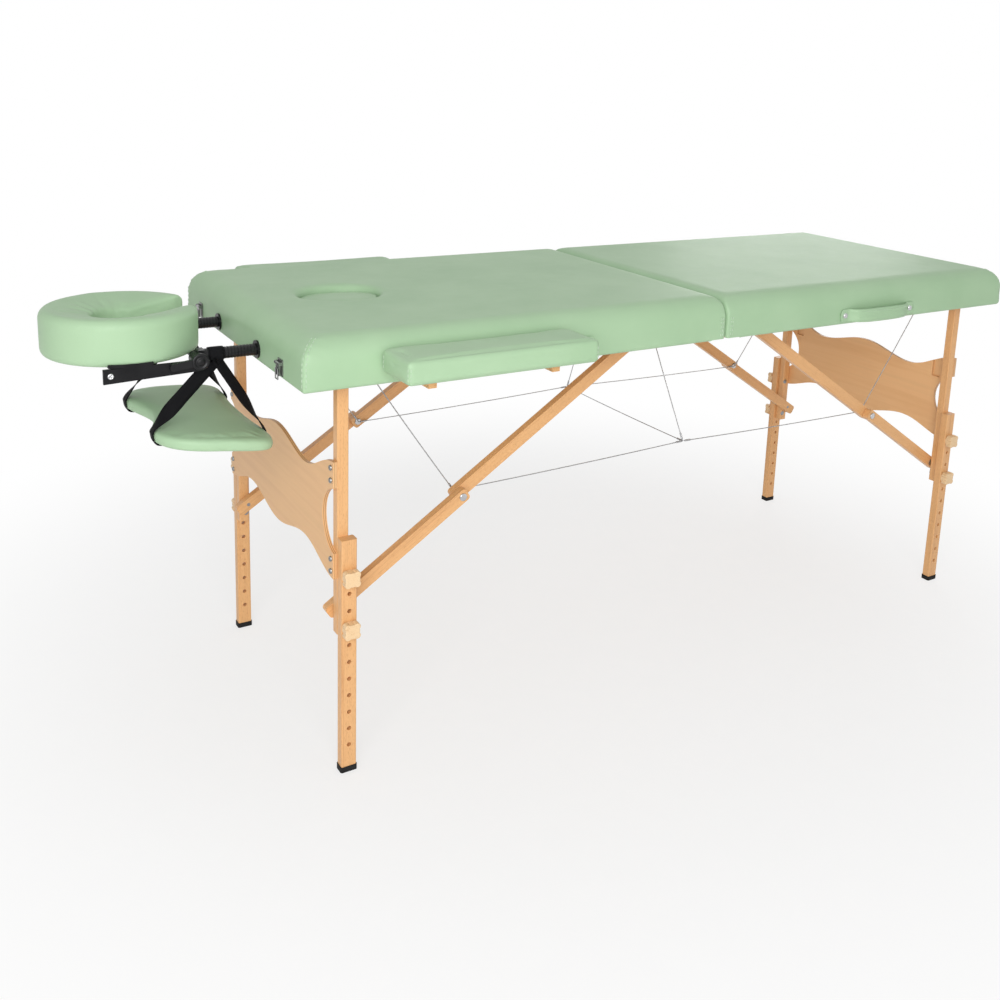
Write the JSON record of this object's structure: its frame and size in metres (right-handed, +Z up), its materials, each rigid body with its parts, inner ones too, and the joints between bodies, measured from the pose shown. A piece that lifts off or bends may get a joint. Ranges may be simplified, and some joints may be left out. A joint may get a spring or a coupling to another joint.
{
  "type": "folding massage table",
  "caption": "Portable folding massage table with wooden legs, green padded deck, face cradle, arm shelf, side armrests and cable braces.",
  "frame": {"origin": "on the floor, under the middle of the table's overall length and width", "axes": "+X along the table towards the foot end, +Y across it, +Z up"},
  "size_m": [2.247, 0.948, 0.869],
  "materials": {
    "beech": "clear satin varnish",
    "panel_ply": "clear satin varnish",
    "raw_ply": "bare",
    "vinyl": "soft satin, fine grain",
    "foam": "open cell",
    "black_plastic": "moulded",
    "black_steel": "powder coat",
    "webbing": "woven",
    "bright_steel": "zinc plate",
    "chrome": "bright",
    "cable": "stranded wire",
    "black_rubber": "moulded"
  },
  "bodies": {
    "head_section": {"head_frame": "beech", "head_deck_board": "raw_ply", "head_foam": "foam", "head_cover": "vinyl", "head_hinge_leaves": "bright_steel", "head_handle": "vinyl", "head_cables": "cable", "cradle_bushes": "black_plastic", "latch_bases": "chrome"},
    "foot_section": {"foot_frame": "beech", "foot_deck_board": "raw_ply", "foot_foam": "foam", "foot_cover": "vinyl", "foot_hinge_leaves": "bright_steel", "foot_handle": "vinyl", "foot_cables": "cable", "latch_strikes": "chrome"},
    "head_legs": {"head_upper_legs": "beech", "head_panel": "panel_ply", "head_leg_fasteners": "bright_steel"},
    "head_near_lower_leg": {"head_near_lower_leg": "beech", "head_near_foot_cap": "black_rubber"},
    "head_near_upper_knob": {"head_near_upper_knob": "beech"},
    "head_near_lower_knob": {"head_near_lower_knob": "beech"},
    "head_near_lower_strut": {"head_near_lower_strut": "beech"},
    "head_near_upper_strut": {"head_near_upper_strut": "beech"},
    "head_far_lower_leg": {"head_far_lower_leg": "beech", "head_far_foot_cap": "black_rubber"},
    "head_far_upper_knob": {"head_far_upper_knob": "beech"},
    "head_far_lower_knob": {"head_far_lower_knob": "beech"},
    "head_far_lower_strut": {"head_far_lower_strut": "beech"},
    "head_far_upper_strut": {"head_far_upper_strut": "beech"},
    "foot_legs": {"foot_upper_legs": "beech", "foot_panel": "panel_ply", "foot_leg_fasteners": "bright_steel"},
    "foot_near_lower_leg": {"foot_near_lower_leg": "beech", "foot_near_foot_cap": "black_rubber"},
    "foot_near_upper_knob": {"foot_near_upper_knob": "beech"},
    "foot_near_lower_knob": {"foot_near_lower_knob": "beech"},
    "foot_near_lower_strut": {"foot_near_lower_strut": "beech"},
    "foot_near_upper_strut": {"foot_near_upper_strut": "beech"},
    "foot_far_lower_leg": {"foot_far_lower_leg": "beech", "foot_far_foot_cap": "black_rubber"},
    "foot_far_upper_knob": {"foot_far_upper_knob": "beech"},
    "foot_far_lower_knob": {"foot_far_lower_knob": "beech"},
    "foot_far_lower_strut": {"foot_far_lower_strut": "beech"},
    "foot_far_upper_strut": {"foot_far_upper_strut": "beech"},
    "cradle_carriage": {"cradle_frame": "black_plastic"},
    "cradle_head": {"cradle_platform": "black_steel", "cradle_cushion": "vinyl"},
    "cradle_lever": {"cradle_lever": "black_plastic"},
    "arm_shelf": {"arm_shelf": "vinyl", "arm_shelf_straps": "webbing"},
    "near_armrest": {"near_armrest": "vinyl", "near_armrest_bars": "beech"},
    "near_latch_lever": {"near_latch_lever": "chrome"},
    "far_armrest": {"far_armrest": "vinyl", "far_armrest_bars": "beech"},
    "far_latch_lever": {"far_latch_lever": "chrome"},
    "face_plug": {"face_plug": "vinyl"}
  },
  "joints": [
    {"name": "deck_fold", "type": "hinge", "parent": "head_section", "child": "foot_section", "pos_m": [0.1735, 0, 0.7634], "axis": [0, 1, 0], "range_deg": [0, 45], "deforming": ["head_cables", "foot_cables"]},
    {"name": "head_leg_fold", "type": "hinge", "parent": "head_section", "child": "head_legs", "pos_m": [-0.6705, 0, 0.793], "axis": [0, -1, 0], "range_deg": [-0.2, 90.2]},
    {"name": "head_near_leg_height", "type": "slide", "parent": "head_legs", "child": "head_near_lower_leg", "axis": [0, 0, 1], "range_m": [0, 0.2052]},
    {"name": "head_near_upper_knob_turn", "type": "hinge", "parent": "head_legs", "child": "head_near_upper_knob", "pos_m": [-0.6705, -0.323, 0.398], "axis": [0, 1, 0], "continuous": true},
    {"name": "head_near_lower_knob_turn", "type": "hinge", "parent": "head_legs", "child": "head_near_lower_knob", "pos_m": [-0.6705, -0.323, 0.2954], "axis": [0, 1, 0], "continuous": true},
    {"name": "head_near_lower_strut_turn", "type": "hinge", "parent": "head_legs", "child": "head_near_lower_strut", "pos_m": [-0.6705, 0, 0.3214], "axis": [0, -1, 0], "range_deg": [-0.2, 57.19]},
    {"name": "head_near_upper_strut_turn", "type": "hinge", "parent": "head_section", "child": "head_near_upper_strut", "pos_m": [0.0555, 0, 0.793], "axis": [0, 1, 0], "range_deg": [-0.2, 33.61]},
    {"name": "head_far_leg_height", "type": "slide", "parent": "head_legs", "child": "head_far_lower_leg", "axis": [0, 0, 1], "range_m": [0, 0.2052]},
    {"name": "head_far_upper_knob_turn", "type": "hinge", "parent": "head_legs", "child": "head_far_upper_knob", "pos_m": [-0.6705, 0.323, 0.398], "axis": [0, 1, 0], "continuous": true},
    {"name": "head_far_lower_knob_turn", "type": "hinge", "parent": "head_legs", "child": "head_far_lower_knob", "pos_m": [-0.6705, 0.323, 0.2954], "axis": [0, 1, 0], "continuous": true},
    {"name": "head_far_lower_strut_turn", "type": "hinge", "parent": "head_legs", "child": "head_far_lower_strut", "pos_m": [-0.6705, 0, 0.3214], "axis": [0, -1, 0], "range_deg": [-0.2, 57.19]},
    {"name": "head_far_upper_strut_turn", "type": "hinge", "parent": "head_section", "child": "head_far_upper_strut", "pos_m": [0.0555, 0, 0.793], "axis": [0, 1, 0], "range_deg": [-0.2, 33.61]},
    {"name": "foot_leg_fold", "type": "hinge", "parent": "foot_section", "child": "foot_legs", "pos_m": [1.0175, 0, 0.793], "axis": [0, 1, 0], "range_deg": [-0.2, 90.2]},
    {"name": "foot_near_leg_height", "type": "slide", "parent": "foot_legs", "child": "foot_near_lower_leg", "axis": [0, 0, 1], "range_m": [0, 0.2052]},
    {"name": "foot_near_upper_knob_turn", "type": "hinge", "parent": "foot_legs", "child": "foot_near_upper_knob", "pos_m": [1.0175, -0.323, 0.398], "axis": [0, 1, 0], "continuous": true},
    {"name": "foot_near_lower_knob_turn", "type": "hinge", "parent": "foot_legs", "child": "foot_near_lower_knob", "pos_m": [1.0175, -0.323, 0.2954], "axis": [0, 1, 0], "continuous": true},
    {"name": "foot_near_lower_strut_turn", "type": "hinge", "parent": "foot_legs", "child": "foot_near_lower_strut", "pos_m": [1.0175, 0, 0.3214], "axis": [0, 1, 0], "range_deg": [-0.2, 57.19]},
    {"name": "foot_near_upper_strut_turn", "type": "hinge", "parent": "foot_section", "child": "foot_near_upper_strut", "pos_m": [0.2915, 0, 0.793], "axis": [0, -1, 0], "range_deg": [-0.2, 33.61]},
    {"name": "foot_far_leg_height", "type": "slide", "parent": "foot_legs", "child": "foot_far_lower_leg", "axis": [0, 0, 1], "range_m": [0, 0.2052]},
    {"name": "foot_far_upper_knob_turn", "type": "hinge", "parent": "foot_legs", "child": "foot_far_upper_knob", "pos_m": [1.0175, 0.323, 0.398], "axis": [0, 1, 0], "continuous": true},
    {"name": "foot_far_lower_knob_turn", "type": "hinge", "parent": "foot_legs", "child": "foot_far_lower_knob", "pos_m": [1.0175, 0.323, 0.2954], "axis": [0, 1, 0], "continuous": true},
    {"name": "foot_far_lower_strut_turn", "type": "hinge", "parent": "foot_legs", "child": "foot_far_lower_strut", "pos_m": [1.0175, 0, 0.3214], "axis": [0, 1, 0], "range_deg": [-0.2, 57.19]},
    {"name": "foot_far_upper_strut_turn", "type": "hinge", "parent": "foot_section", "child": "foot_far_upper_strut", "pos_m": [0.2915, 0, 0.793], "axis": [0, -1, 0], "range_deg": [-0.2, 33.61]},
    {"name": "cradle_slide", "type": "slide", "parent": "head_section", "child": "cradle_carriage", "axis": [-1, 0, 0], "range_m": [0, 0.1]},
    {"name": "cradle_tilt", "type": "hinge", "parent": "cradle_carriage", "child": "cradle_head", "pos_m": [-0.8795, 0, 0.782], "axis": [0, 1, 0], "range_deg": [-35, 18]},
    {"name": "cradle_lever_turn", "type": "hinge", "parent": "cradle_carriage", "child": "cradle_lever", "pos_m": [-0.8795, 0, 0.782], "axis": [0, 1, 0], "range_deg": [0, 90]},
    {"name": "arm_shelf_swing", "type": "hinge", "parent": "cradle_carriage", "child": "arm_shelf", "pos_m": [-0.8465, 0, 0.788], "axis": [0, 1, 0], "range_deg": [-5, 5]},
    {"name": "near_armrest_pull", "type": "slide", "parent": "head_section", "child": "near_armrest", "axis": [0, -1, 0], "range_m": [0, 0.03]},
    {"name": "near_latch_swing", "type": "hinge", "parent": "head_section", "child": "near_latch_lever", "pos_m": [-0.7745, -0.248, 0.794], "axis": [0, 1, 0], "range_deg": [0, 110]},
    {"name": "far_armrest_pull", "type": "slide", "parent": "head_section", "child": "far_armrest", "axis": [0, 1, 0], "range_m": [0, 0.03]},
    {"name": "far_latch_swing", "type": "hinge", "parent": "head_section", "child": "far_latch_lever", "pos_m": [-0.7745, 0.248, 0.794], "axis": [0, 1, 0], "range_deg": [0, 110]},
    {"name": "face_plug_lift", "type": "slide", "parent": "head_section", "child": "face_plug", "axis": [0, 0, 1], "range_m": [0, 0.06]}
  ],
  "couplings": [
    {"joint": "head_leg_fold", "follows": "deck_fold", "ratio": 2},
    {"joint": "head_near_lower_strut_turn", "follows": "deck_fold", "ratio": 1.2665},
    {"joint": "head_near_upper_strut_turn", "follows": "deck_fold", "ratio": 0.74238},
    {"joint": "head_far_lower_strut_turn", "follows": "deck_fold", "ratio": 1.2665},
    {"joint": "head_far_upper_strut_turn", "follows": "deck_fold", "ratio": 0.74238},
    {"joint": "foot_leg_fold", "follows": "deck_fold", "ratio": 2},
    {"joint": "foot_near_lower_strut_turn", "follows": "deck_fold", "ratio": 1.2665},
    {"joint": "foot_near_upper_strut_turn", "follows": "deck_fold", "ratio": 0.74238},
    {"joint": "foot_far_lower_strut_turn", "follows": "deck_fold", "ratio": 1.2665},
    {"joint": "foot_far_upper_strut_turn", "follows": "deck_fold", "ratio": 0.74238}
  ]
}
